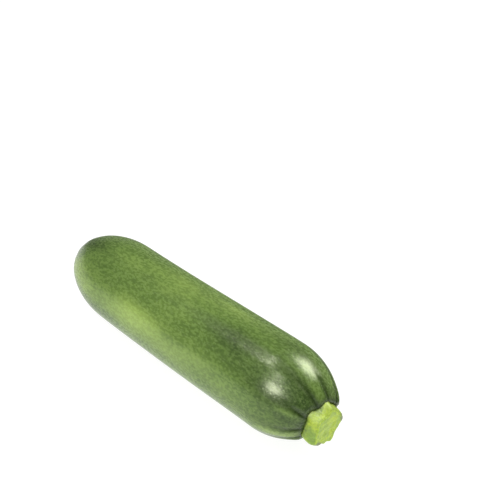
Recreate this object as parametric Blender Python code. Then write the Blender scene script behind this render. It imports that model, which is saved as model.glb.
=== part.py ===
"""A picked zucchini with its cut stem, lying on the small flat spot under it.

The fruit lies along X with its stem end at +X, and +Z is up.  Both pieces start
as primitives, and each point is then moved to its place on the real form by the
rule in its function's docstring.  Lengths are in metres, angles in radians.
An angle round the fruit runs from +Y towards +Z.
"""
from math import acos, atan2, cos, exp, pi, radians, sin, sqrt

import bmesh
import bpy
from mathutils import Vector

# The fruit's body. Its full length runs to the point where the shoulder would
# close if the stem weren't there, and x = 0 is the middle of that length.
FULL_LENGTH = 0.2026
BLOSSOM_RADIUS = 0.0241
SHOULDER_RADIUS = 0.0259
BLOSSOM_CAP_LENGTH = 0.0396
BLOSSOM_CAP_POWER = 0.50
SHOULDER_CAP_LENGTH = 0.0407
SHOULDER_CAP_POWER = 0.87
FLAT_SPOT_DEPTH = 0.0005

# The centre line bows a little to one side along the whole fruit. From the
# start of the droop, a share of the length, it also moves by the droop's two
# amounts until the seat, and the sections lean by the tilt.
SIDE_BOW = 0.0017
DROOP_START = 0.72
DROOP_POWER = 2.5
DROOP_SIDE = -0.0010
DROOP_DOWN = -0.0024
SEAT_TILT = 0.20
SEAT_TILT_TOWARDS = radians(108.0)

# Ten shallow grooves along the skin, deepest on the shoulder
GROOVES = 10
GROOVE_SHARPNESS = 3
GROOVE_DEPTH_SHOULDER = 0.0011
GROOVE_DEPTH_BODY = 0.00015
GROOVE_DEPTH_BLOSSOM = 0.0004
GROOVE_REACH = 0.024

# The scar of the blossom: a shallow ring round a small button
SCAR_RADIUS = 0.0052
SCAR_WIDTH = 0.0012
SCAR_DEPTH = 0.0006

# The seat that the stem grows from, a little below the lip of the skin
SEAT_X = 0.0890
SEAT_RECESS = 0.0010
SEAT_RADIUS = 0.0128
GAP = 0.0003

# The stem: five ridges, flared at its foot and its cut end, the rim just rounded
STEM_RIDGES = 5
STEM_RIDGE_HEIGHT = 0.11
STEM_HEIGHT_TO_WIDTH = 0.90
STEM_TURN = radians(-5.0)
STEM_END_X = 0.0966
STEM_FOOT_DOWN = -0.0008
STEM_END_SIDE = -0.0006
STEM_END_DOWN = -0.0018
STEM_END_TILT = 0.04
STEM_FOOT_RADIUS = 0.0111
STEM_WAIST_RADIUS = 0.0104
STEM_END_RADIUS = 0.0111
STEM_FOOT_POWER = 3
STEM_END_POWER = 2
STEM_RIM_ROUNDING = 0.0006
STEM_RIM_POWER = 14

# Mesh divisions
FRUIT_SEGMENTS = 80
FRUIT_RINGS = 44
SEAT_RINGS = 3
FIRST_RING_ANGLE = radians(25.0)
STEM_SEGMENTS = 60
STEM_LEVELS = 6
STEM_LEVEL_CROWDING = 1.8


def clear_scene():
    """Remove every object of the scene that the file opened with."""
    for thing in list(bpy.data.objects):
        bpy.data.objects.remove(thing, do_unlink=True)


def along(x):
    """Share of the full length at x: 0 at the blossom end, 1 at the stem end."""
    return x / FULL_LENGTH + 0.5


def droop(x):
    """0 until the droop starts, and then a power curve that reaches 1 at the seat."""
    share = (along(x) - DROOP_START) / (along(SEAT_X) - DROOP_START)
    return max(share, 0) ** DROOP_POWER


def full_radius(x):
    """Radius of the body at x before its ends round off, growing to the stem."""
    return BLOSSOM_RADIUS + (SHOULDER_RADIUS - BLOSSOM_RADIUS) * along(x)


def body_radius(x):
    """Full radius times what each rounded end leaves of it.

    An end leaves 1 - (share of the way into the cap) squared, to the cap's power.
    """
    from_blossom = x + FULL_LENGTH / 2
    from_stem = FULL_LENGTH / 2 - x
    into_blossom = min(max(1 - from_blossom / BLOSSOM_CAP_LENGTH, 0), 1)
    into_shoulder = min(max(1 - from_stem / SHOULDER_CAP_LENGTH, 0), 1)
    blossom_cap = (1 - into_blossom ** 2) ** BLOSSOM_CAP_POWER
    shoulder_cap = (1 - into_shoulder ** 2) ** SHOULDER_CAP_POWER
    return full_radius(x) * blossom_cap * shoulder_cap


def centre_line(x):
    """Centre of the section at x: a parabola to the side, and the droop.

    The underside stays level, so the centre rises as the body gets thicker.
    """
    parabola = (2 * along(x) - 1) ** 2
    y = SIDE_BOW * parabola + DROOP_SIDE * droop(x)
    z = full_radius(x) - FLAT_SPOT_DEPTH + DROOP_DOWN * droop(x)
    return Vector((x, y, z))


def groove_depth(x):
    """Depth of a groove at x: the body's, and more towards each end as a bell curve."""
    to_stem = (SEAT_X - x) / GROOVE_REACH
    to_blossom = (x + FULL_LENGTH / 2) / GROOVE_REACH
    depth = GROOVE_DEPTH_BODY
    depth += (GROOVE_DEPTH_SHOULDER - GROOVE_DEPTH_BODY) * exp(-to_stem ** 2)
    depth += (GROOVE_DEPTH_BLOSSOM - GROOVE_DEPTH_BODY) * exp(-to_blossom ** 2)
    return depth


def groove(angle):
    """1 in the bottom of a groove, falling to 0 half-way to the next."""
    return ((1 + cos(GROOVES * angle)) / 2) ** GROOVE_SHARPNESS


def fruit_station(ring):
    """Place x and radius of a ring, counted from the middle of the stem's seat.

    The first rings lie on the seat's floor, the next is its lip, and the rest
    follow the body with their x spaced as the cosine of an even angle.
    """
    if ring <= SEAT_RINGS:
        return SEAT_X - SEAT_RECESS, SEAT_RADIUS * ring / SEAT_RINGS
    lip_ring = SEAT_RINGS + 1
    share = (ring - lip_ring) / (FRUIT_RINGS - lip_ring)
    angle = FIRST_RING_ANGLE + (pi - FIRST_RING_ANGLE) * share
    reach = (SEAT_X + FULL_LENGTH / 2) / (1 + cos(FIRST_RING_ANGLE))
    x = reach * (1 + cos(angle)) - FULL_LENGTH / 2
    return x, body_radius(x)


def lean(tilt, side, up):
    """How far ahead of its centre a leaning section lies at a point beside the centre."""
    return tilt * (side * cos(SEAT_TILT_TOWARDS) + up * sin(SEAT_TILT_TOWARDS))


def fruit_point(ring, angle):
    """Point of the fruit's skin on a ring at an angle round it.

    The radius loses the groove's depth, the blossom end is pressed in by a bell
    curve round the scar's ring, the sections lean towards the seat, and nothing
    reaches below the flat spot.
    """
    x, radius = fruit_station(ring)
    centre = centre_line(x)
    if ring > SEAT_RINGS:
        radius -= groove_depth(x) * groove(angle) * radius / full_radius(x)
    if x < BLOSSOM_CAP_LENGTH - FULL_LENGTH / 2:
        x += SCAR_DEPTH * exp(-((radius - SCAR_RADIUS) / SCAR_WIDTH) ** 2)
        tilt = 0
    elif ring > SEAT_RINGS:
        tilt = SEAT_TILT * droop(x)
    else:
        tilt = SEAT_TILT
    side = radius * cos(angle)
    up = radius * sin(angle)
    return Vector((x + lean(tilt, side, up), centre.y + side, max(centre.z + up, 0)))


def stem_radius(share):
    """Mean radius at a share of the stem's length: flared foot, waist, cut end."""
    flare = (STEM_FOOT_RADIUS - STEM_WAIST_RADIUS) * (1 - share) ** STEM_FOOT_POWER
    spread = (STEM_END_RADIUS - STEM_WAIST_RADIUS) * share ** STEM_END_POWER
    rounding = STEM_RIM_ROUNDING * share ** STEM_RIM_POWER
    return STEM_WAIST_RADIUS + flare + spread - rounding


def stem_point(level, angle, out):
    """Point of the stem at a level 0 to 1, at an angle, and a share out from its middle.

    The section is a circle, a little less high than wide, with a cosine wave of
    five ridges. Its centre and its lean go evenly from the seat's to the cut
    end's, and the levels crowd towards the cut end by a power curve.
    """
    share = 1 - (1 - level) ** STEM_LEVEL_CROWDING
    foot = centre_line(SEAT_X - SEAT_RECESS)
    foot_x = SEAT_X - SEAT_RECESS + GAP
    wave = 1 + STEM_RIDGE_HEIGHT * cos(STEM_RIDGES * (angle - STEM_TURN))
    radius = stem_radius(share) * wave * out
    side = STEM_END_SIDE * share + radius * cos(angle)
    up = STEM_FOOT_DOWN + STEM_END_DOWN * share
    up += STEM_HEIGHT_TO_WIDTH * radius * sin(angle)
    tilt = SEAT_TILT + (STEM_END_TILT - SEAT_TILT) * share
    x = foot_x + (STEM_END_X - foot_x) * share + lean(tilt, side, up)
    return Vector((x, foot.y + side, foot.z + up))


def new_piece(name, mesh_data, material, collection, parent):
    """Make an object of a finished bmesh, smooth shaded, in the fruit's collection."""
    mesh = bpy.data.meshes.new(name)
    mesh_data.to_mesh(mesh)
    mesh_data.free()
    mesh.shade_smooth()
    mesh.materials.append(material)
    piece = bpy.data.objects.new(name, mesh)
    piece.parent = parent
    collection.objects.link(piece)
    return piece


def plain_material(name, colour, roughness):
    """A Principled BSDF with one colour."""
    material = bpy.data.materials.new(name)
    material.use_nodes = True
    shader = material.node_tree.nodes["Principled BSDF"]
    shader.inputs["Base Color"].default_value = (*colour, 1)
    shader.inputs["Roughness"].default_value = roughness
    shader.inputs["Metallic"].default_value = 0
    return material


def make_fruit(collection, parent):
    """The fruit: a sphere whose rings are sent to the stations of the body."""
    skin = bmesh.new()
    bmesh.ops.create_uvsphere(skin, u_segments=FRUIT_SEGMENTS, v_segments=FRUIT_RINGS, radius=1)
    for vert in skin.verts:
        polar = acos(min(max(vert.co.z, -1), 1))
        ring = round(polar / pi * FRUIT_RINGS)
        vert.co = fruit_point(ring, atan2(vert.co.y, vert.co.x))
    material = plain_material("zucchini_skin", (0.105, 0.175, 0.045), 0.4)
    return new_piece("fruit", skin, material, collection, parent)


def make_stem(collection, parent):
    """The stem: a cylinder whose wall is divided and then given its ridges."""
    block = bmesh.new()
    bmesh.ops.create_cone(
        block, cap_ends=True, cap_tris=True, segments=STEM_SEGMENTS, radius1=1, radius2=1, depth=1
    )
    wall = [edge for edge in block.edges if edge.verts[0].co.z * edge.verts[1].co.z < 0]
    bmesh.ops.subdivide_edges(block, edges=wall, cuts=STEM_LEVELS - 1, use_grid_fill=True)
    for vert in block.verts:
        out = sqrt(vert.co.x ** 2 + vert.co.y ** 2)
        vert.co = stem_point(vert.co.z + 0.5, atan2(vert.co.y, vert.co.x), out)
    material = plain_material("cut_stem", (0.42, 0.55, 0.09), 0.55)
    return new_piece("stem", block, material, collection, parent)


def stand_on_origin(root, pieces):
    """Move the root so that the bottom centre of the pieces' box is the origin."""
    points = [vert.co for piece in pieces for vert in piece.data.vertices]
    middle_x = (min(p.x for p in points) + max(p.x for p in points)) / 2
    middle_y = (min(p.y for p in points) + max(p.y for p in points)) / 2
    lowest = min(p.z for p in points)
    root.location = (-middle_x, -middle_y, -lowest)


clear_scene()
zucchini = bpy.data.collections.new("zucchini")
bpy.context.scene.collection.children.link(zucchini)
root = bpy.data.objects.new("zucchini_root", None)
zucchini.objects.link(root)
fruit = make_fruit(zucchini, root)
stem = make_stem(zucchini, root)
stand_on_origin(root, [fruit, stem])
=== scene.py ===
"""A picked zucchini with its cut stem, lying on a pale floor in soft studio light.

Lengths are in metres and angles in radians. An angle round the fruit runs from +Y
towards +Z. The pieces are worked out with x = 0 at the middle of the fruit's full
length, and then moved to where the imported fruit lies.
"""
from math import cos, pi, radians, sin

import bpy
import numpy as np
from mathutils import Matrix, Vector


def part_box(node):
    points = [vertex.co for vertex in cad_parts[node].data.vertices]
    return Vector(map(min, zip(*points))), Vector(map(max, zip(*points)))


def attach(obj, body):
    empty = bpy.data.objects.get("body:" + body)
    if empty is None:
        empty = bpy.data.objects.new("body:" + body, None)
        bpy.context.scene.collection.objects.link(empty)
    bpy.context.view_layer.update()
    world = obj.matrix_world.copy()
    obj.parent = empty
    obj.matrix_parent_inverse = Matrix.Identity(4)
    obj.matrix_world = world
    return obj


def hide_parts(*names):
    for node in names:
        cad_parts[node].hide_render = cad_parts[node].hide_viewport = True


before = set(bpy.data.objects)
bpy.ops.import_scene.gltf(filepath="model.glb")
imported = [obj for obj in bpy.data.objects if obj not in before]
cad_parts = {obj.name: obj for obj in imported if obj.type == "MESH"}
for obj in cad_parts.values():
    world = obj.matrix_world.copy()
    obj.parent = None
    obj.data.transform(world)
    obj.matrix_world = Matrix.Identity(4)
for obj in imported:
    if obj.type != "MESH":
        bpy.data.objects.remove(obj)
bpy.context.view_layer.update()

# The fruit
# One grown body under a thin waxy skin. It is a little thicker towards the stem,
# bows to one side, and its ten low ribs end in creases round the stem. The skin
# closes over the foot of the stem, and a small dry scar marks the blossom end.

FULL_LENGTH = 0.2026
BLOSSOM_RADIUS = 0.0241
SHOULDER_RADIUS = 0.0259
BLOSSOM_CAP_LENGTH = 0.0396
BLOSSOM_CAP_POWER = 0.50
SHOULDER_CAP_LENGTH = 0.0407
SHOULDER_CAP_POWER = 0.87
FLAT_SPOT_DEPTH = 0.0005
FLAT_SPOT_SOFTNESS = 0.0001

SIDE_BOW = 0.0017
DROOP_START = 0.72
DROOP_POWER = 2.5
DROOP_SIDE = -0.0010
DROOP_DOWN = -0.0024
SEAT_X = 0.0890
SEAT_TILT = 0.20
SEAT_TILT_TOWARDS = radians(108)

GROOVES = 10
GROOVE_DEPTH_SHOULDER = 0.0011
GROOVE_DEPTH_BODY = 0.00015
GROOVE_DEPTH_BLOSSOM = 0.0004
GROOVE_REACH = 0.013
GROOVE_SHARPNESS_BODY = 3
GROOVE_SHARPNESS_SHOULDER = 7
# Three grooves fade out sooner along the fruit, each by a shortening of its own
SHORT_GROOVES = np.radians([74, 143, 185])
SHORT_GROOVE_SPREAD = radians(17)
SHORT_GROOVE_LOSS = 0.8
SHORTENINGS = np.array([0.0065, 0.0045, 0.0035])
# How far each groove lies from its even place, counted from the one at +Y
GROOVE_TURNS = np.radians([-3, 2, 3, -1, -1, 5, -3, 3, -2, 3])
GROOVE_TURN_SPREAD = radians(15)

# The shoulder is a little fuller on its far side
FULLER_X = 0.0860
FULLER_ANGLE = radians(23)
FULLER_REACH = 0.0100
FULLER_SPREAD = radians(34)
FULLER_HEIGHT = 0.0006
FULLER_LEAVING = 0.0060
FULLER_SINKING = 0.0125

SCAR_RADIUS = 0.0052
SCAR_WIDTH = 0.0012
SCAR_DEPTH = 0.0006

# The ranges of a wave's turns round the fruit, and of its radians a metre along it
RIPPLES = 14
RIPPLE_TURNS = (1, 8)
RIPPLE_WAVES = (10, 90)
RIPPLE_HEIGHT = 0.00005
RIPPLE_MIDDLE = -0.0002
RIPPLE_SEED = 5


def bell(distance, width):
    """1 where the distance is 0, falling to 0.37 at one width as a bell curve."""
    return np.exp(-((distance / width) ** 2))


def angle_from(angle, other):
    """The turn from one angle to another the short way round, with its sign."""
    return (angle - other + pi) % (2 * pi) - pi


def bells_round(angle, places, width):
    """A bell curve of the turn from each of several places, in a last axis of their own."""
    return bell(angle_from(np.asarray(angle)[..., None], places), width)


def along(x):
    """Share of the full length at x: 0 at the blossom end, 1 at the stem end."""
    return x / FULL_LENGTH + 0.5


def droop(x):
    """0 until the droop starts, and then a power curve that reaches 1 at the seat."""
    share = (along(x) - DROOP_START) / (along(SEAT_X) - DROOP_START)
    return np.maximum(share, 0) ** DROOP_POWER


def full_radius(x):
    """Radius of the body at x before its ends round off, growing to the stem."""
    return BLOSSOM_RADIUS + (SHOULDER_RADIUS - BLOSSOM_RADIUS) * along(x)


def body_radius(x):
    """Full radius times what each rounded end leaves of it.

    An end leaves 1 - (share of the way into the cap) squared, to the cap's power.
    """
    into_blossom = np.clip(1 - (x + FULL_LENGTH / 2) / BLOSSOM_CAP_LENGTH, 0, 1)
    into_shoulder = np.clip(1 - (FULL_LENGTH / 2 - x) / SHOULDER_CAP_LENGTH, 0, 1)
    blossom_cap = (1 - into_blossom**2) ** BLOSSOM_CAP_POWER
    shoulder_cap = (1 - into_shoulder**2) ** SHOULDER_CAP_POWER
    return full_radius(x) * blossom_cap * shoulder_cap


def centre_side(x):
    """How far the centre of the section at x lies to the side: a parabola and the droop."""
    return SIDE_BOW * (2 * along(x) - 1) ** 2 + DROOP_SIDE * droop(x)


def centre_height(x):
    """How high the centre of the section at x lies: the radius, less flat spot and droop."""
    return full_radius(x) - FLAT_SPOT_DEPTH + DROOP_DOWN * droop(x)


def groove_depth(x, angle):
    """Depth of the grooves: the body's, and more towards each end as a bell curve.

    Three grooves are short: they are deep only close to the stem, and fade out soon.
    """
    short = bells_round(angle, SHORT_GROOVES, SHORT_GROOVE_SPREAD)
    reach = GROOVE_REACH - (SHORTENINGS * short).sum(-1)
    shoulder = (GROOVE_DEPTH_SHOULDER - GROOVE_DEPTH_BODY) * bell(SEAT_X - x, reach)
    blossom = (GROOVE_DEPTH_BLOSSOM - GROOVE_DEPTH_BODY) * bell(x + FULL_LENGTH / 2, GROOVE_REACH)
    return GROOVE_DEPTH_BODY * (1 - SHORT_GROOVE_LOSS * short.sum(-1)) + shoulder + blossom


def groove_angle(angle):
    """The angle, less each groove's own turn in a bell curve round its place."""
    places = np.arange(GROOVES) * 2 * pi / GROOVES + GROOVE_TURNS
    near = bells_round(angle, places, GROOVE_TURN_SPREAD)
    return angle - (GROOVE_TURNS * near).sum(-1)


def groove(x, angle):
    """1 in the bottom of a groove, falling to 0 half-way to the next.

    It is a raised cosine wave to a power, and the power grows towards the stem. The
    angle is bent a little near each groove, so that they are not spaced evenly.
    """
    sharper = GROOVE_SHARPNESS_SHOULDER - GROOVE_SHARPNESS_BODY
    sharpness = GROOVE_SHARPNESS_BODY + sharper * bell(SEAT_X - x, GROOVE_REACH)
    return ((1 + np.cos(GROOVES * groove_angle(angle))) / 2) ** sharpness


def ripple(x, angle):
    """Slight unevenness of growth: long waves of random direction, added up.

    Each wave is a cosine with a whole number of turns round the fruit, so that it
    closes on itself.
    """
    rng = np.random.default_rng(RIPPLE_SEED)
    total = 0
    for _ in range(RIPPLES):
        turns_round = rng.integers(*RIPPLE_TURNS)
        waves_along = rng.uniform(*RIPPLE_WAVES)
        phase = rng.uniform(0, 2 * pi)
        total = total + np.cos(turns_round * angle + waves_along * x + phase)
    return RIPPLE_MIDDLE + RIPPLE_HEIGHT * total


def fuller(angle):
    """1 on the side where the shoulder is fuller, falling to 0 round it as a bell curve."""
    return bell(angle_from(angle, FULLER_ANGLE), FULLER_SPREAD)


def lean(tilt, side, up):
    """How far ahead of its centre a leaning section lies at a point beside the centre."""
    return tilt * (side * cos(SEAT_TILT_TOWARDS) + up * sin(SEAT_TILT_TOWARDS))


def body_point(x, angle):
    """Point of the skin at x and at an angle round it.

    The radius loses the groove's depth and takes the ripple, both in proportion to
    it, and one side of the shoulder is fuller by a bell curve. The blossom end is
    pressed in by a bell curve round the scar's ring, the sections lean towards the
    seat, and below the flat spot z is softly held at 0.
    """
    radius = body_radius(x)
    relief = ripple(x, angle) - groove_depth(x, angle) * groove(x, angle)
    radius = radius + relief * radius / full_radius(x)
    radius = radius + FULLER_HEIGHT * bell(x - FULLER_X, FULLER_REACH) * fuller(angle)
    side = radius * np.cos(angle)
    up = radius * np.sin(angle)
    at_blossom = x < BLOSSOM_CAP_LENGTH - FULL_LENGTH / 2
    pressed = np.where(at_blossom, SCAR_DEPTH * bell(radius - SCAR_RADIUS, SCAR_WIDTH), 0)
    height = centre_height(x) + up
    held = (height + np.sqrt(height**2 + FLAT_SPOT_SOFTNESS**2)) / 2
    ahead = lean(SEAT_TILT * droop(x), side, up)
    return np.stack(np.broadcast_arrays(x + pressed + ahead, centre_side(x) + side, held), axis=-1)


# The stem's wall is needed here, because the skin ends against it
STEM_FOOT_X = 0.0883
STEM_END_X = 0.0966
STEM_FOOT_DOWN = -0.0008
STEM_END_SIDE = -0.0006
STEM_END_DOWN = -0.0018
STEM_END_TILT = 0.04
STEM_HEIGHT_TO_WIDTH = 0.92
STEM_VALLEY_RADIUS = 0.0092
STEM_FOOT_FLARE = 0.0006
FLARE_POWER = 3
STEM_BELLY = 0.0006
RIDGE_ANGLES = np.radians([-5, 80, 132, 227, 283])
RIDGE_HEIGHTS = np.array([0.0021, 0.0023, 0.0022, 0.0020, 0.0036])
RIDGE_FOOT_SPREADS = np.array([0.0008, 0.0008, 0.0008, 0.0014, 0.0008])
RIDGE_BELLIES = np.array([0, 0, 0, 0.0014, 0])
RIDGE_WIDTH = radians(16)
SIDE_RIDGE_HEIGHT = 0.0003
SIDE_RIDGE_WIDTH = radians(6)
SIDE_RIDGE_OFFSET = radians(30)
LOW_RIB_ANGLES = np.radians([210, 256])
LOW_RIB_HEIGHTS = np.array([0.0012, 0.0011])
LOW_RIB_WIDTH = radians(11)


def ridges(angle):
    """Height of the stem's five ridges at an angle, as the sum of a bell curve for each.

    A thin rib runs on both sides of every ridge, and two low ribs stand between ridges.
    """
    turns = angle_from(np.asarray(angle)[..., None], RIDGE_ANGLES)
    main = (RIDGE_HEIGHTS * bell(turns, RIDGE_WIDTH)).sum(-1)
    beside = SIDE_RIDGE_HEIGHT * bell(np.abs(turns) - SIDE_RIDGE_OFFSET, SIDE_RIDGE_WIDTH)
    low_ribs = LOW_RIB_HEIGHTS * bells_round(angle, LOW_RIB_ANGLES, LOW_RIB_WIDTH)
    return main + beside.sum(-1) + low_ribs.sum(-1)


def stem_radius(share, angle):
    """Radius of the stem at a share of its length and an angle.

    The valleys' radius and the ridges, a belly as half a sine wave, and at the foot a
    flare that spreads further on the ridges. The flare is a power of the share, and
    one ridge has a fuller belly.
    """
    near_foot = np.maximum(1 - share, 0) ** FLARE_POWER
    ridge = bells_round(angle, RIDGE_ANGLES, RIDGE_WIDTH)
    foot = (STEM_FOOT_FLARE + (RIDGE_FOOT_SPREADS * ridge).sum(-1)) * near_foot
    fullness = STEM_BELLY + (RIDGE_BELLIES * ridge).sum(-1)
    belly = fullness * np.sin(pi * np.clip(share, 0, 1))
    return STEM_VALLEY_RADIUS + ridges(angle) + foot + belly


def stem_point(share, angle, radius, ahead=0):
    """Point at a share of the stem's length, an angle and a radius from the stem's axis.

    The axis sinks a little from the foot to the cut end, the sections are slightly
    less high than wide, and their lean goes evenly from the seat's to the end's.
    """
    side = STEM_END_SIDE * share + radius * np.cos(angle)
    up = STEM_FOOT_DOWN + STEM_END_DOWN * share
    up = up + STEM_HEIGHT_TO_WIDTH * radius * np.sin(angle)
    tilt = SEAT_TILT + (STEM_END_TILT - SEAT_TILT) * share
    x = STEM_FOOT_X + (STEM_END_X - STEM_FOOT_X) * share + lean(tilt, side, up) + ahead
    y = centre_side(STEM_FOOT_X) + side
    z = centre_height(STEM_FOOT_X) + up
    return np.stack(np.broadcast_arrays(x, y, z), axis=-1)


JOIN_HEIGHT = 0.0012
JOIN_LEAN = 0.0015
JOIN_LEAN_TOWARDS = radians(30)
JOIN_RIDGE_DIPS = np.array([0.0006, 0, 0.0017, 0, 0.0008])
JOIN_GAP = 0.00005


def join_share(angle):
    """Share of the stem's length at which the skin ends against its wall.

    A level that leans to one side, less a dip for each ridge that runs down the
    shoulder.
    """
    dips = (JOIN_RIDGE_DIPS * bells_round(angle, RIDGE_ANGLES, RIDGE_WIDTH)).sum(-1)
    height = JOIN_HEIGHT + JOIN_LEAN * np.cos(angle - JOIN_LEAN_TOWARDS) - dips
    return height / (STEM_END_X - STEM_FOOT_X)


FRUIT_COLUMNS = 384
BODY_ROWS = 176
SHOULDER_ROWS = 36
TUCK_ROWS = 4
FLOOR_ROWS = 2
SHOULDER_X = 0.0815
FIRST_ROW_ANGLE = radians(35)
SHOULDER_LEAVING = 0.0130
SHOULDER_MEETING = 0.0062
SHOULDER_SINKING = 0.0022
FOLD_DEPTH = 0.0006
TUCK_SHARE = -0.06


def body_rows():
    """x of the rows from the blossom end to the shoulder, spaced as the cosine of an even angle."""
    angle = np.linspace(pi, FIRST_ROW_ANGLE, BODY_ROWS + 1)[1:]
    reach = (SHOULDER_X + FULL_LENGTH / 2) / (1 + cos(FIRST_ROW_ANGLE))
    return reach * (1 + np.cos(angle)) - FULL_LENGTH / 2


def shoulder_point(share, angle):
    """Point of the shoulder, from the last row of the body to the wall of the stem.

    A cubic curve that leaves the body in the body's own direction and meets the wall
    going inwards and down, with more pull at both its ends on the fuller side. Each
    groove goes on in it as a fold.
    """
    step = 1e-5
    start = body_point(SHOULDER_X, angle)
    leaving = (start - body_point(SHOULDER_X - step, angle)) / step
    pull = (SHOULDER_LEAVING + FULLER_LEAVING * fuller(angle))[..., None]
    leaving = leaving / np.linalg.norm(leaving, axis=-1, keepdims=True) * pull
    join = join_share(angle)
    end = stem_point(join, angle, stem_radius(join, angle) + JOIN_GAP)
    axis = stem_point(join, angle, 0)
    meeting = (axis - end) / np.linalg.norm(axis - end, axis=-1, keepdims=True) * SHOULDER_MEETING
    meeting[..., 0] -= SHOULDER_SINKING + FULLER_SINKING * fuller(angle)
    t = share[..., None]
    curve = (2 * t**3 - 3 * t**2 + 1) * start + (t**3 - 2 * t**2 + t) * leaving
    curve = curve + (3 * t**2 - 2 * t**3) * end + (t**3 - t**2) * meeting
    outwards = (start - axis) / np.linalg.norm(start - axis, axis=-1, keepdims=True)
    outwards[..., 0] += 1
    fold = FOLD_DEPTH * groove(SEAT_X, angle) * np.sin(pi * share)
    return curve - fold[..., None] * outwards


def closed_surface(name, rows, first, last):
    """A mesh object from a grid of points that closes round, with a point at each end.

    The rows run from the first point to the last, and each is joined to the next by
    four-sided faces. Fans of triangles close the ends.
    """
    count, columns = rows.shape[:2]
    corner = np.arange(count * columns).reshape(count, columns)
    here = corner[:-1]
    ahead = corner[1:]
    quads = np.stack([here, np.roll(here, -1, 1), np.roll(ahead, -1, 1), ahead], axis=-1).reshape(-1, 4)
    first_index = count * columns
    first_fan = np.stack([np.full(columns, first_index), np.roll(corner[0], -1), corner[0]], axis=-1)
    last_fan = np.stack([np.full(columns, first_index + 1), corner[-1], np.roll(corner[-1], -1)], axis=-1)
    points = np.concatenate([rows.reshape(-1, 3), [first, last]])
    mesh = bpy.data.meshes.new(name)
    mesh.from_pydata(points.tolist(), [], quads.tolist() + first_fan.tolist() + last_fan.tolist())
    mesh.shade_smooth()
    piece = bpy.data.objects.new(name, mesh)
    bpy.context.scene.collection.objects.link(piece)
    return piece


def mark(piece, name, values, first, last):
    """Keep a number for each point of a closed surface, for its material to read."""
    attribute = piece.data.attributes.new(name, "FLOAT", "POINT")
    attribute.data.foreach_set("value", np.append(values.ravel(), [first, last]).astype(np.float32))


around = np.arange(FRUIT_COLUMNS) * 2 * pi / FRUIT_COLUMNS
body_x, body_angle = np.meshgrid(body_rows(), around, indexing="ij")
body = body_point(body_x, body_angle)

shoulder_share, shoulder_angle = np.meshgrid(
    np.linspace(0, 1, SHOULDER_ROWS + 1)[1:], around, indexing="ij"
)
shoulder = shoulder_point(shoulder_share, shoulder_angle)

tuck_down, tuck_angle = np.meshgrid(np.linspace(0, 1, TUCK_ROWS + 1)[1:], around, indexing="ij")
tuck_share = join_share(tuck_angle) + (TUCK_SHARE - join_share(tuck_angle)) * tuck_down
tuck = stem_point(tuck_share, tuck_angle, stem_radius(tuck_share, tuck_angle) + JOIN_GAP)

floor_in, floor_angle = np.meshgrid(
    np.linspace(1, 0, FLOOR_ROWS + 2)[1:-1], around, indexing="ij"
)
seat_floor = stem_point(TUCK_SHARE, floor_angle, stem_radius(TUCK_SHARE, floor_angle) * floor_in)

skin_rows = np.concatenate([body, shoulder, tuck, seat_floor])
skin_angle = np.broadcast_to(around, skin_rows.shape[:2])
skin_x = skin_rows[..., 0]
skin_y = skin_rows[..., 1]
tip_x = -FULL_LENGTH / 2
blossom_tip = np.array([tip_x, centre_side(tip_x), centre_height(tip_x)])
seat_middle = stem_point(TUCK_SHARE, 0.0, 0.0)

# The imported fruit's box says where all of it lies
fruit_low, fruit_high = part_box("fruit")
place = np.array([
    fruit_low.x + FULL_LENGTH / 2,
    (fruit_low.y + fruit_high.y - skin_y.min() - skin_y.max()) / 2,
    0,
])

skin = closed_surface("fruit_skin", skin_rows + place, blossom_tip + place, seat_middle + place)

RING_MIDDLE_SHARE = 0.2
DARK_RING_REACH = 0.0047
VALLEY_REACH = 0.030
VALLEY_POWER = 1.5
# Most patches are the skin's own paler and darker tone, but some are painted light
# Each: x, angle, reach along, spread round, drift of the angle along, strength
PALE_PATCHES = [
    # The long low band and its heart are partly painted light
    (-0.033, radians(166), 0.056, radians(22), radians(120), 0.60),
    (-0.025, radians(157), 0.012, radians(16), radians(100), 0.75),
    (-0.056, radians(158), 0.014, radians(14), 0, -0.25),
    (-0.086, radians(150), 0.014, radians(24), 0, 0.68),
    (0.002, radians(122), 0.018, radians(16), 0, 0.18),
    (0.030, radians(162), 0.020, radians(14), 0, 0.20),
    (-0.020, radians(86), 0.045, radians(24), 0, 0.32),
    (0.022, radians(73), 0.018, radians(11), 0, 0.38),
    (-0.010, radians(78), 0.012, radians(9), 0, 0.25),
    (-0.088, radians(100), 0.018, radians(40), 0, -0.85),
    (0.036, radians(112), 0.022, radians(18), 0, -0.85),
    (0.057, radians(140), 0.016, radians(20), 0, -0.35),
    (0.066, radians(84), 0.008, radians(12), 0, -0.35),
    (0.083, radians(166), 0.012, radians(14), 0, -0.70),
    (0.088, radians(95), 0.006, radians(9), 0, 0.35),
    (0.087, radians(128), 0.018, radians(24), 0, -0.90),
    # A painted reflection: a pale spot on the shoulder just below a crease by the stem
    (0.083, radians(153), 0.005, radians(4), 0, 0.80),
    (0.080, radians(200), 0.012, radians(9), 0, 0.50),
    (-0.063, radians(194), 0.020, radians(10), 0, -0.40),
    (0.005, radians(255), 0.050, radians(20), radians(-200), 0.65),
    (-0.030, radians(330), 0.040, radians(18), radians(250), 0.60),
    (0.030, radians(15), 0.034, radians(16), 0, 0.50),
    (0.040, radians(300), 0.030, radians(18), 0, -0.40),
    (-0.050, radians(35), 0.030, radians(18), 0, -0.30),
]


def near_stem(points):
    """1 at the foot of the stem, falling as a bell curve of the distance from it."""
    foot = stem_point(RING_MIDDLE_SHARE, 0.0, 0.0)
    away = np.maximum(np.linalg.norm(points - foot, axis=-1) - STEM_VALLEY_RADIUS, 0)
    return bell(away, DARK_RING_REACH)


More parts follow.
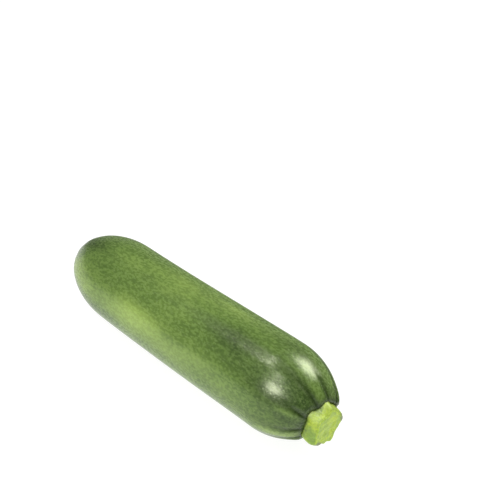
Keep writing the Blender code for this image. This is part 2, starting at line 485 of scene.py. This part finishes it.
def bands(x, angle):
    """How much paler than its surroundings the skin is drawn, partly as painted light: each patch adds a
    bell curve.

    A patch is a bell curve along the fruit times one round it, and its angle may
    drift along the fruit.
    """
    total = 0
    for middle_x, middle_angle, reach, spread, drift, strength in PALE_PATCHES:
        off_x = x - middle_x
        off_angle = angle_from(angle, middle_angle + drift * off_x)
        total = total + strength * bell(off_x, reach) * bell(off_angle, spread)
    return total


def valley(x, angle):
    """1 in the bottom of the wide valley round each groove, fading out from the stem.

    It is a raised cosine wave to a power, times a bell curve of the distance.
    """
    wave = (1 + np.cos(GROOVES * groove_angle(angle))) / 2
    return wave**VALLEY_POWER * bell(SEAT_X - x, VALLEY_REACH)


groove_share = groove(skin_x, skin_angle) * groove_depth(skin_x, skin_angle) / GROOVE_DEPTH_SHOULDER
from_tip = np.linalg.norm(skin_rows[..., 1:] - blossom_tip[1:], axis=-1)
at_blossom = skin_x < BLOSSOM_CAP_LENGTH - FULL_LENGTH / 2
mark(skin, "near_stem", near_stem(skin_rows), 0, 1)
mark(skin, "pale", bands(skin_x, skin_angle), 0, 0)
mark(skin, "in_groove", groove_share, 0, 0)
mark(skin, "valley", valley(skin_x, skin_angle), 0, 0)
mark(skin, "scar", np.where(at_blossom, bell(from_tip, SCAR_RADIUS), 0), 1, 0)


def add_node(tree, kind, settings=(), **inputs):
    """A node of a kind, with its settings and the values or links of its inputs.

    An input's name has underscores for spaces. Where inputs share a name, each goes
    by its number, such as at0.
    """
    made = tree.nodes.new(kind)
    for name, value in dict(settings).items():
        setattr(made, name, value)
    for name, value in inputs.items():
        if name.startswith("at"):
            socket = made.inputs[int(name.removeprefix("at"))]
        else:
            socket = made.inputs[name.replace("_", " ")]
        if isinstance(value, bpy.types.NodeSocket):
            tree.links.new(value, socket)
        else:
            socket.default_value = value
    return made


def calculate(tree, operation, first, second=0.0, third=0.0):
    """The result of one sum of two or three numbers or links."""
    made = add_node(tree, "ShaderNodeMath", {"operation": operation}, at0=first, at1=second, at2=third)
    return made.outputs["Value"]


def blend_colours(tree, share, first, second):
    """The first colour, going to the second as the share goes from 0 to 1."""
    made = add_node(tree, "ShaderNodeMix", {"data_type": "RGBA"}, at0=share, at6=first, at7=second)
    return made.outputs[2]


def dim(tree, share, colour, by):
    """The colour, multiplied by another as the share goes from 0 to 1."""
    made = add_node(
        tree, "ShaderNodeMix", {"data_type": "RGBA", "blend_type": "MULTIPLY"},
        at0=share, at6=colour, at7=by,
    )
    return made.outputs[2]


def rise(tree, value, low, high):
    """0 up to the low value, 1 from the high one, and a smooth rise between them."""
    made = add_node(
        tree, "ShaderNodeMapRange", {"interpolation_type": "SMOOTHSTEP"},
        Value=value, From_Min=low, From_Max=high,
    )
    return made.outputs["Result"]


def read_mark(tree, name):
    """The number that mark() kept on the surface."""
    return add_node(tree, "ShaderNodeAttribute", {"attribute_name": name}).outputs["Fac"]


def stretched_place(tree, along_scale, across_scale):
    """The place on the object, counted in shorter steps across the fruit than along it."""
    place = add_node(tree, "ShaderNodeTexCoord").outputs["Object"]
    scale = (along_scale, across_scale, across_scale)
    return add_node(tree, "ShaderNodeMapping", Vector=place, Scale=scale).outputs["Vector"]


def noise(tree, vector, detail, roughness=0.5):
    """Cloudy noise between 0 and 1 at a stretched place."""
    made = add_node(
        tree, "ShaderNodeTexNoise", Vector=vector, Scale=1.0, Detail=detail, Roughness=roughness
    )
    return made.outputs["Fac"]


def fleck(tree, vector, inner, outer, share_of_cells):
    """Round flecks: one in some cells of a Voronoi pattern, 1 inside and 0 outside."""
    cells = add_node(tree, "ShaderNodeTexVoronoi", Vector=vector, Scale=1.0)
    spot = rise(tree, cells.outputs["Distance"], outer, inner)
    parts = add_node(tree, "ShaderNodeSeparateColor", Color=cells.outputs["Color"])
    chosen = calculate(tree, "LESS_THAN", parts.outputs["Red"], share_of_cells)
    return calculate(tree, "MULTIPLY", spot, chosen)


DARK_SKIN = (0.065, 0.115, 0.025, 1)
MID_SKIN = (0.170, 0.275, 0.058, 1)
PALE_SKIN = (0.360, 0.510, 0.115, 1)
MOTTLE = (0.600, 0.640, 0.620, 1)
FLECK = (0.300, 0.400, 0.150, 1)
# Deep green in the grooves and valleys, partly the skin's own and partly painted shade in the creases
GROOVE_SKIN_AND_SHADE = (0.032, 0.060, 0.010, 1)
# The dark ring round the stem is partly the skin's darker green and partly painted shade where the skin
# meets the stem
RING_SKIN_AND_SHADE = (0.018, 0.036, 0.006, 1)
SCAR_SKIN = (0.300, 0.270, 0.120, 1)
SCAR_DARK = (0.120, 0.130, 0.045, 1)

# Steps of each pattern in a metre, along the fruit and across it
CLOUD_STEPS = (40, 110)
GRAIN_STEPS = (420, 800)
STREAK_STEPS = (60, 900)
FLECK_STEPS = (420, 780)
FLECK_INSIDE = 0.10
FLECK_OUTSIDE = 0.46
FLECKED_CELLS = 0.75

# The skin's tone is a sum, and each pair is where a colour starts and is complete
TONE_START = -0.25
TONE_OF_CLOUD = 0.90
TONE_OF_STREAK = 0.40
MID_TONES = (-0.70, 0.55)
PALE_TONES = (0.25, 1.55)
CALM_TONES = (0.30, 1.20)
CALM_LOSS = -0.55
MOTTLE_GRAIN = (0.58, 0.40)
SCAR_EDGE = (0.80, 1.20)
SCAR_GRAIN = (0.42, 0.60)
GRAIN_AT_SCAR = 0.5

# How much of its colour each mark gives where it is strongest
FLECK_SHARE = 0.30
VALLEY_SHARE = 0.55
GROOVE_SHARE = 0.85
RING_SHARE = 0.92

WAX_ROUGHNESS = 0.19
GRAIN_ROUGHNESS = 0.16
SCAR_ROUGHNESS = 0.35
RELIEF_OF_GRAIN = 0.7
RELIEF_OF_FLECKS = -0.25
RELIEF_OF_CLOUD = 0.8


def skin_finish():
    """Waxy green skin: cloudy mottling, pale flecks, pale bands partly of painted light, and painted
    shade with darker skin in the grooves and in a ring at the stem.
    """
    material = bpy.data.materials.new("waxy_skin")
    material.use_nodes = True
    tree = material.node_tree
    shader = tree.nodes["Principled BSDF"]
    cloud = noise(tree, stretched_place(tree, *CLOUD_STEPS), detail=3)
    grain = noise(tree, stretched_place(tree, *GRAIN_STEPS), detail=3, roughness=0.6)
    streak = noise(tree, stretched_place(tree, *STREAK_STEPS), detail=2)
    fleck_place = stretched_place(tree, *FLECK_STEPS)
    flecks = fleck(tree, fleck_place, FLECK_INSIDE, FLECK_OUTSIDE, FLECKED_CELLS)

    tone = calculate(tree, "MULTIPLY_ADD", cloud, TONE_OF_CLOUD, TONE_START)
    tone = calculate(tree, "MULTIPLY_ADD", streak, TONE_OF_STREAK, tone)
    # The pale mark is partly the skin's own tone and partly painted light
    tone = calculate(tree, "ADD", tone, read_mark(tree, "pale"))
    colour = blend_colours(tree, rise(tree, tone, *MID_TONES), DARK_SKIN, MID_SKIN)
    colour = blend_colours(tree, rise(tree, tone, *PALE_TONES), colour, PALE_SKIN)
    mottled = calculate(tree, "MULTIPLY_ADD", rise(tree, tone, *CALM_TONES), CALM_LOSS, 1.0)
    mottled = calculate(tree, "MULTIPLY", mottled, rise(tree, grain, *MOTTLE_GRAIN))
    colour = dim(tree, mottled, colour, MOTTLE)
    colour = blend_colours(tree, calculate(tree, "MULTIPLY", flecks, FLECK_SHARE), colour, FLECK)
    # The valleys and grooves near the stem are darkened, partly as painted shade
    valley_dark = calculate(tree, "MULTIPLY", read_mark(tree, "valley"), VALLEY_SHARE)
    colour = blend_colours(tree, valley_dark, colour, GROOVE_SKIN_AND_SHADE)
    groove_dark = calculate(tree, "MULTIPLY", read_mark(tree, "in_groove"), GROOVE_SHARE)
    colour = blend_colours(tree, groove_dark, colour, GROOVE_SKIN_AND_SHADE)
    # Painted shade, with some darker skin, in a ring round the stem's foot
    ring = calculate(tree, "MULTIPLY", read_mark(tree, "near_stem"), RING_SHARE)
    colour = blend_colours(tree, ring, colour, RING_SKIN_AND_SHADE)
    ragged = calculate(tree, "MULTIPLY_ADD", grain, GRAIN_AT_SCAR, read_mark(tree, "scar"))
    scar = rise(tree, ragged, *SCAR_EDGE)
    scar_tone = blend_colours(tree, rise(tree, grain, *SCAR_GRAIN), SCAR_DARK, SCAR_SKIN)
    colour = blend_colours(tree, scar, colour, scar_tone)
    tree.links.new(colour, shader.inputs["Base Color"])

    rough = calculate(tree, "MULTIPLY_ADD", grain, GRAIN_ROUGHNESS, WAX_ROUGHNESS)
    rough = calculate(tree, "MULTIPLY_ADD", scar, SCAR_ROUGHNESS, rough)
    tree.links.new(rough, shader.inputs["Roughness"])
    shader.inputs["IOR"].default_value = 1.40
    shader.inputs["Coat Weight"].default_value = 0.05
    shader.inputs["Coat Roughness"].default_value = 0.20

    pits = calculate(tree, "MULTIPLY", flecks, RELIEF_OF_FLECKS)
    relief = calculate(tree, "MULTIPLY_ADD", grain, RELIEF_OF_GRAIN, pits)
    relief = calculate(tree, "MULTIPLY_ADD", cloud, RELIEF_OF_CLOUD, relief)
    bump = add_node(tree, "ShaderNodeBump", Height=relief, Strength=0.32, Distance=0.0003)
    tree.links.new(bump.outputs["Normal"], shader.inputs["Normal"])
    return material


skin.data.materials.append(skin_finish())
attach(skin, "root")
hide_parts("fruit")

# The stem
# The cut stub of the stalk that the fruit hung from: firm green fibre with five
# ridges that spread on the shoulder, and a square cut face that has begun to dry.

STEM_COLUMNS = 360
WALL_ROWS = 60
RIM_ROWS = 9
FACE_ROWS = 40
FOOT_ROWS = 2
STEM_BELOW = -0.02
RIM_ROUNDING = 0.0010
FACE_HOLLOW = 0.0006

# Each pair is the range that a number of a random wave is drawn from
FIBRES = 14
FIBRE_TURNS = (16, 60)
FIBRE_TWIST = (-6, 6)
FIBRE_HEIGHT = 0.000016
FIBRE_SEED = 11
LUMPS = 16
LUMP_TURNS = (3, 16)
LUMP_WAVES = (-9, 9)
LUMP_HEIGHT = 0.00006
LUMP_SEED = 4
FULL_ROUGH_SHARE = 0.3
FACE_LUMPS = 12
FACE_WAVES = (400, 1600)
FACE_LUMP_HEIGHT = 0.00005
FACE_SEED = 9


def fibres(share, angle):
    """Fine ribs of the stem's fibres: cosines with many turns round, added up."""
    rng = np.random.default_rng(FIBRE_SEED)
    total = 0
    for _ in range(FIBRES):
        turns_round = rng.integers(*FIBRE_TURNS)
        twist = rng.uniform(*FIBRE_TWIST)
        phase = rng.uniform(0, 2 * pi)
        total = total + np.cos(turns_round * angle + twist * share + phase)
    return FIBRE_HEIGHT * total


def lumps(share, angle):
    """Soft lumps of the stem's flesh: waves that run round and along it, added up."""
    rng = np.random.default_rng(LUMP_SEED)
    total = 0
    for _ in range(LUMPS):
        turns_round = rng.integers(*LUMP_TURNS)
        waves_along = rng.uniform(*LUMP_WAVES)
        phase = rng.uniform(0, 2 * pi)
        total = total + np.cos(turns_round * angle + waves_along * share + phase)
    return LUMP_HEIGHT * total


def wall_radius(share, angle):
    """Radius of the stem's wall with its fibres and lumps, which grow evenly from the foot."""
    rough = fibres(share, angle) + lumps(share, angle)
    return stem_radius(share, angle) + rough * np.clip(share, 0, FULL_ROUGH_SHARE) / FULL_ROUGH_SHARE


def wall_point(share, angle):
    """Point of the stem's wall."""
    return stem_point(share, angle, wall_radius(share, angle))


def rim_point(turn, angle):
    """Point of the rounded rim, a quarter circle that turns from the wall to the cut face."""
    radius = wall_radius(1.0, angle) - RIM_ROUNDING * (1 - np.cos(turn))
    return stem_point(1.0, angle, radius, RIM_ROUNDING * (np.sin(turn) - 1))


def face_point(share, angle):
    """Point of the cut face at a share of the way out from its middle.

    It sinks to the middle, and waves across it in random directions make it uneven.
    """
    radius = (wall_radius(1.0, angle) - RIM_ROUNDING) * share
    rng = np.random.default_rng(FACE_SEED)
    uneven = 0
    for _ in range(FACE_LUMPS):
        waves_across = rng.uniform(*FACE_WAVES)
        heading = rng.uniform(0, 2 * pi)
        phase = rng.uniform(0, 2 * pi)
        uneven = uneven + np.cos(waves_across * radius * np.cos(angle - heading) + phase)
    sunk = FACE_HOLLOW * (1 - share**2) ** 2
    return stem_point(1.0, angle, radius, FACE_LUMP_HEIGHT * uneven * (1 - share**4) - sunk)


stem_around = np.arange(STEM_COLUMNS) * 2 * pi / STEM_COLUMNS
foot_in, foot_angle = np.meshgrid(
    np.linspace(0, 1, FOOT_ROWS + 2)[1:-1], stem_around, indexing="ij"
)
stem_foot = stem_point(STEM_BELOW, foot_angle, stem_radius(STEM_BELOW, foot_angle) * foot_in)
wall_top = 1 - RIM_ROUNDING / (STEM_END_X - STEM_FOOT_X)
up_wall, wall_angle = np.meshgrid(
    np.linspace(STEM_BELOW, wall_top, WALL_ROWS), stem_around, indexing="ij"
)
wall = wall_point(up_wall, wall_angle)
over_rim, rim_angle = np.meshgrid(
    np.linspace(0, pi / 2, RIM_ROWS + 1)[1:], stem_around, indexing="ij"
)
rim = rim_point(over_rim, rim_angle)
across_face, face_angle = np.meshgrid(
    np.linspace(1, 0, FACE_ROWS + 2)[1:-1], stem_around, indexing="ij"
)
face = face_point(across_face, face_angle)

stem_rows = np.concatenate([stem_foot, wall, rim, face])
stem = closed_surface(
    "stem_stub",
    stem_rows + place,
    stem_point(STEM_BELOW, 0.0, 0.0) + place,
    face_point(0.0, 0.0) + place,
)

# Two ridge tips have dried, a little way down the wall and into the cut face
DRY_TIPS = np.radians([-1, 227])
DRY_TIP_WIDTH = radians(15)
DRY_DOWN_WALL = 0.25
DRY_INTO_FACE = 0.16
MIDDLE_REACH = 0.45
# The pale crests, partly a painted highlight, fade by this share up the stem
CREST_LOSS = 0.45
# The green patch at 192 degrees darkens the stem's lower flank as painted shade
# Each: share of the stem's length, angle, reach along, spread round, strength
GREEN_AND_SHADE_PATCHES = [
    (0.75, radians(192), 0.55, radians(26), 0.9),
    (0.40, radians(160), 0.10, radians(7), 0.7),
    (0.45, radians(144), 0.30, radians(14), -0.6),
    (0.50, radians(92), 0.40, radians(14), -0.5),
    (0.60, radians(250), 0.50, radians(18), 0.7),
    (0.50, radians(335), 0.50, radians(20), 0.7),
]
# Greyer patches on the wall; the one at 109 degrees, in the valley between two ridges, is partly dust and
# partly painted shade
DUST_AND_SHADE_PATCHES = [
    (0.20, radians(109), 0.28, radians(13), 1.3),
    (0.10, radians(200), 0.16, radians(30), 0.5),
    (0.20, radians(30), 0.30, radians(20), 0.5),
    (0.20, radians(300), 0.30, radians(14), 0.5),
]
# Two yellow patches on the cut face, at one share of the way out
FACE_PATCH_ANGLES = np.radians([52, 292])
FACE_PATCH_SPREADS = np.radians([34, 26])
FACE_PATCH_OUT = 0.60
FACE_PATCH_WIDTH = 0.30


def by_part(on_foot, on_wall, on_rim, on_face):
    """Numbers for all rows of the stem, from a number or an array for each part of it."""
    parts = [on_foot, on_wall, on_rim, on_face]
    grids = [foot_in, up_wall, over_rim, across_face]
    return np.concatenate([part + 0 * grid for part, grid in zip(parts, grids)])


def stem_patches(patches):
    """Sum of patches on the stem's wall, each a bell curve along it times one round it."""
    total = 0
    for share, middle_angle, reach, spread, strength in patches:
        along_it = bell(length_share - share, reach)
        total = total + strength * along_it * bell(angle_from(stem_angle, middle_angle), spread)
    return total * (1 - face_share)


stem_angle = np.broadcast_to(stem_around, stem_rows.shape[:2])
length_share = by_part(0, up_wall, 1, 1)
face_share = by_part(0, 0, np.sin(over_rim) ** 2, 1)
out_share = by_part(0, 0, 1, across_face)
middle_share = by_part(0, 0, 0, bell(across_face, MIDDLE_REACH))
near_rim = by_part(0, bell(1 - up_wall, DRY_DOWN_WALL), 1, bell(1 - across_face, DRY_INTO_FACE))
on_ridge = bells_round(stem_angle, RIDGE_ANGLES, RIDGE_WIDTH).sum(-1)
on_dry_tip = bells_round(stem_angle, DRY_TIPS, DRY_TIP_WIDTH).sum(-1)
on_face_patch = bells_round(stem_angle, FACE_PATCH_ANGLES, FACE_PATCH_SPREADS).sum(-1)
mark(stem, "up_stem", length_share, 0, 1)
mark(stem, "cut", face_share, 0, 1)
mark(stem, "middle", middle_share, 0, 1)
mark(stem, "crest", on_ridge * (1 - CREST_LOSS * length_share), 0, 0)
mark(stem, "dry", near_rim * on_dry_tip, 0, 0)
mark(stem, "green", stem_patches(GREEN_AND_SHADE_PATCHES), 0, 0)
mark(stem, "dust_and_shade", stem_patches(DUST_AND_SHADE_PATCHES), 0, 0)
mark(stem, "yellow", on_face_patch * bell(out_share - FACE_PATCH_OUT, FACE_PATCH_WIDTH), 0, 0)

STEM_YELLOW = (0.480, 0.620, 0.055, 1)
STEM_GREEN = (0.270, 0.420, 0.060, 1)
STEM_PALE_AND_HIGHLIGHT = (0.640, 0.800, 0.210, 1)
STEM_DUST_AND_SHADE = (0.270, 0.380, 0.120, 1)
STEM_LOW_SHADE = (0.250, 0.380, 0.090, 1)
STEM_MOTTLE = (0.760, 0.800, 0.650, 1)
FACE_GREEN = (0.475, 0.675, 0.085, 1)
FACE_YELLOW = (0.670, 0.840, 0.080, 1)
FACE_PALE = (0.640, 0.845, 0.180, 1)
STEM_DRY = (0.200, 0.230, 0.140, 1)

# Steps of each pattern in a metre, along the stem and across it
STEM_CLOUD_STEPS = (260, 320)
STEM_GRAIN_STEPS = (700, 1100)
CLOUD_GAIN = 2.6
CLOUD_START = -1.3

# Each pair is where a colour starts and is complete, and each share its most
GREEN_TONES = (-0.35, 0.85)
DUST_AND_SHADE_TONES = (0.15, 0.95)
DUST_AND_SHADE_SHARE = 0.75
CREST_TONES = (0.45, 1.0)
CREST_SHARE = 0.75
CLOUD_ON_CREST = 0.5
# The stem darkens towards its foot as painted shade where it goes into the skin
LOW_TONES = (0.30, 0.02)
LOW_SHARE = 0.45
YELLOW_TONES = (0.42, 0.70)
YELLOW_GAIN = 0.25
MIDDLE_SHARE = 0.6
STEM_MOTTLE_GRAIN = (0.60, 0.38)
DRY_TONES = (0.60, 0.95)
DRY_SHARE = 0.8
GRAIN_AT_DRY_TIP = 0.5
STEM_ROUGHNESS = 0.40
STEM_GRAIN_ROUGHNESS = 0.2


def stem_finish():
    """Lime green fibre: yellow in the valleys, pale on the crests with a painted highlight, greyish where
    it dries, with painted shade low on the stem and on one flank.
    """
    material = bpy.data.materials.new("cut_stem")
    material.use_nodes = True
    tree = material.node_tree
    shader = tree.nodes["Principled BSDF"]
    cloud = noise(tree, stretched_place(tree, *STEM_CLOUD_STEPS), detail=3)
    grain = noise(tree, stretched_place(tree, *STEM_GRAIN_STEPS), detail=4, roughness=0.6)

    patchy = calculate(tree, "MULTIPLY_ADD", cloud, CLOUD_GAIN, CLOUD_START)
    # The green mark is partly the stem's own tone and partly painted shade on its lower flank
    green = calculate(tree, "ADD", patchy, read_mark(tree, "green"))
    colour = blend_colours(tree, rise(tree, green, *GREEN_TONES), STEM_YELLOW, STEM_GREEN)
    # Greyer where the dusty patches lie, partly painted shade
    dust_and_shade = rise(tree, calculate(tree, "ADD", patchy, read_mark(tree, "dust_and_shade")), *DUST_AND_SHADE_TONES)
    colour = blend_colours(tree, calculate(tree, "MULTIPLY", dust_and_shade, DUST_AND_SHADE_SHARE), colour, STEM_DUST_AND_SHADE)
    # Pale crests: partly paler fibre, partly a painted highlight along the ridges
    crest = calculate(tree, "MULTIPLY_ADD", patchy, CLOUD_ON_CREST, read_mark(tree, "crest"))
    crest = calculate(tree, "MULTIPLY", rise(tree, crest, *CREST_TONES), CREST_SHARE)
    colour = blend_colours(tree, crest, colour, STEM_PALE_AND_HIGHLIGHT)
    # Painted shade low on the stem, by the skin
    low = rise(tree, read_mark(tree, "up_stem"), *LOW_TONES)
    colour = blend_colours(tree, calculate(tree, "MULTIPLY", low, LOW_SHARE), colour, STEM_LOW_SHADE)
    yellow = calculate(tree, "MULTIPLY_ADD", read_mark(tree, "yellow"), YELLOW_GAIN, cloud)
    face_tone = blend_colours(tree, rise(tree, yellow, *YELLOW_TONES), FACE_GREEN, FACE_YELLOW)
    middle = calculate(tree, "MULTIPLY", read_mark(tree, "middle"), MIDDLE_SHARE)
    face_tone = blend_colours(tree, middle, face_tone, FACE_PALE)
    colour = blend_colours(tree, read_mark(tree, "cut"), colour, face_tone)
    colour = dim(tree, rise(tree, grain, *STEM_MOTTLE_GRAIN), colour, STEM_MOTTLE)
    dry = calculate(tree, "MULTIPLY_ADD", grain, GRAIN_AT_DRY_TIP, read_mark(tree, "dry"))
    dry = calculate(tree, "MULTIPLY", rise(tree, dry, *DRY_TONES), DRY_SHARE)
    colour = blend_colours(tree, dry, colour, STEM_DRY)
    tree.links.new(colour, shader.inputs["Base Color"])

    rough = calculate(tree, "MULTIPLY_ADD", grain, STEM_GRAIN_ROUGHNESS, STEM_ROUGHNESS)
    tree.links.new(rough, shader.inputs["Roughness"])
    shader.inputs["Subsurface Weight"].default_value = 0.20
    shader.inputs["Subsurface Radius"].default_value = (0.004, 0.005, 0.001)
    shader.inputs["Subsurface Scale"].default_value = 1.0
    bump = add_node(tree, "ShaderNodeBump", Height=grain, Strength=0.5, Distance=0.0003)
    tree.links.new(bump.outputs["Normal"], shader.inputs["Normal"])
    return material


stem.data.materials.append(stem_finish())
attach(stem, "root")
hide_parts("stem")

# The studio
# A pale floor with a white room round it, lit by soft boxes of which some light only
# the skin's colour and some show only in its wax, and a camera over the stem end.

CAMERA_PLACE = (0.34300, -0.29758, 0.40714)
CAMERA_PITCH = radians(36)
CAMERA_AZIMUTH = radians(45.3)
CAMERA_VIEW = radians(26)

camera_data = bpy.data.cameras.new("camera")
camera_data.sensor_fit = "HORIZONTAL"
camera_data.angle = CAMERA_VIEW
camera = bpy.data.objects.new("camera", camera_data)
camera.location = CAMERA_PLACE
camera.rotation_euler = (pi / 2 - CAMERA_PITCH, 0, CAMERA_AZIMUTH)
bpy.context.scene.collection.objects.link(camera)
bpy.context.scene.camera = camera

FLOOR_HALF = 3.0
FLOOR_DROP = 0.0001
floor_corners = [
    (-FLOOR_HALF, -FLOOR_HALF, -FLOOR_DROP),
    (FLOOR_HALF, -FLOOR_HALF, -FLOOR_DROP),
    (FLOOR_HALF, FLOOR_HALF, -FLOOR_DROP),
    (-FLOOR_HALF, FLOOR_HALF, -FLOOR_DROP),
]
floor_paint = bpy.data.materials.new("floor_paint")
floor_paint.use_nodes = True
floor_shader = floor_paint.node_tree.nodes["Principled BSDF"]
floor_shader.inputs["Base Color"].default_value = (0.20, 0.20, 0.20, 1)
floor_shader.inputs["Roughness"].default_value = 0.9
floor_shader.inputs["Specular IOR Level"].default_value = 0.1
floor_shader.inputs["Emission Color"].default_value = (1, 1, 1, 1)
floor_shader.inputs["Emission Strength"].default_value = 0.92


def stage_piece(name, points, faces, paint):
    """A mesh object that stands round the zucchini, from its points and faces."""
    mesh = bpy.data.meshes.new(name)
    mesh.from_pydata(points, [], faces)
    mesh.materials.append(paint)
    made = bpy.data.objects.new(name, mesh)
    bpy.context.scene.collection.objects.link(made)
    return made


floor = stage_piece("floor", floor_corners, [(0, 1, 2, 3)], floor_paint)

world = bpy.data.worlds.new("room")
world.use_nodes = True
world.node_tree.nodes["Background"].inputs["Color"].default_value = (1, 1, 1, 1)
world.node_tree.nodes["Background"].inputs["Strength"].default_value = 0.15
bpy.context.scene.world = world
bpy.context.scene.view_settings.view_transform = "Standard"

LIGHT_AIM = Vector((0.06, 0, 0.03))
LIGHT_DISTANCE = 1.2
SHINE_COLOUR = (0.97, 1.00, 0.76)
# Each: name, direction from the fruit, width, height, power, whether it lights the
# skin's colour, and whether it shines in the wax
SOFT_BOXES = [
    ("back_shine", (0.12, 0.74, 0.66), 0.46, 0.60, 18.0, False, True),
    ("front_shine", (0.07, -0.77, 0.64), 0.34, 0.46, 15.0, False, True),
    ("middle_shine", (0.02, -0.38, 0.92), 0.25, 0.34, 3.1, False, True),
    ("top_shine", (-0.38, -0.09, 0.92), 0.10, 0.22, 3.8, False, True),
    ("back_box", (0.10, 0.60, 0.78), 0.80, 0.60, 8.5, True, False),
    ("top_box", (-0.10, -0.30, 0.95), 0.80, 0.80, 5.5, True, False),
    ("fill_box", (0.10, -0.88, 0.40), 1.00, 0.80, 5.5, True, False),
]
for name, direction, width, height, power, lights, shines in SOFT_BOXES:
    box_light = bpy.data.lights.new(name, "AREA")
    box_light.shape = "RECTANGLE"
    box_light.size = width
    box_light.size_y = height
    box_light.energy = power
    box_light.color = SHINE_COLOUR if shines else (1, 1, 1)
    lamp = bpy.data.objects.new(name, box_light)
    outwards = Vector(direction).normalized()
    lamp.location = LIGHT_AIM + outwards * LIGHT_DISTANCE
    lamp.rotation_euler = outwards.to_track_quat("Z", "Y").to_euler()
    lamp.visible_diffuse = lights
    lamp.visible_glossy = shines
    bpy.context.scene.collection.objects.link(lamp)

# A white wall all round, which only the camera sees when it looks level
WALL_DISTANCE = 2.9
WALL_HEIGHT = 3.0
WALL_SIDES = 48
wall_turn = np.arange(WALL_SIDES + 1) * 2 * pi / WALL_SIDES
wall_foot = WALL_DISTANCE * np.stack([np.cos(wall_turn), np.sin(wall_turn), 0 * wall_turn], axis=-1)
wall_points = np.concatenate([wall_foot, wall_foot + [0, 0, WALL_HEIGHT]])
side = np.arange(WALL_SIDES)
wall_faces = np.stack([side + 1, side, side + WALL_SIDES + 1, side + WALL_SIDES + 2], axis=-1)
room_wall = stage_piece("room_wall", wall_points.tolist(), wall_faces.tolist(), floor_paint)
room_wall.visible_diffuse = False
room_wall.visible_glossy = False
room_wall.visible_shadow = False

# A dark card behind the fruit, seen only in the shine of its far edge
CARD_CORNERS = [
    (-0.45, 0.040, 0.001),
    (0.14, 0.040, 0.001),
    (0.14, 0.095, 0.075),
    (-0.45, 0.095, 0.075),
]
card_paint = bpy.data.materials.new("card_paint")
card_paint.use_nodes = True
card_shader = card_paint.node_tree.nodes["Principled BSDF"]
card_shader.inputs["Base Color"].default_value = (0.34, 0.40, 0.28, 1)
card_shader.inputs["Roughness"].default_value = 1.0
card = stage_piece("dark_card", CARD_CORNERS, [(0, 1, 2, 3)], card_paint)
card.visible_camera = False
card.visible_diffuse = False
card.visible_shadow = False
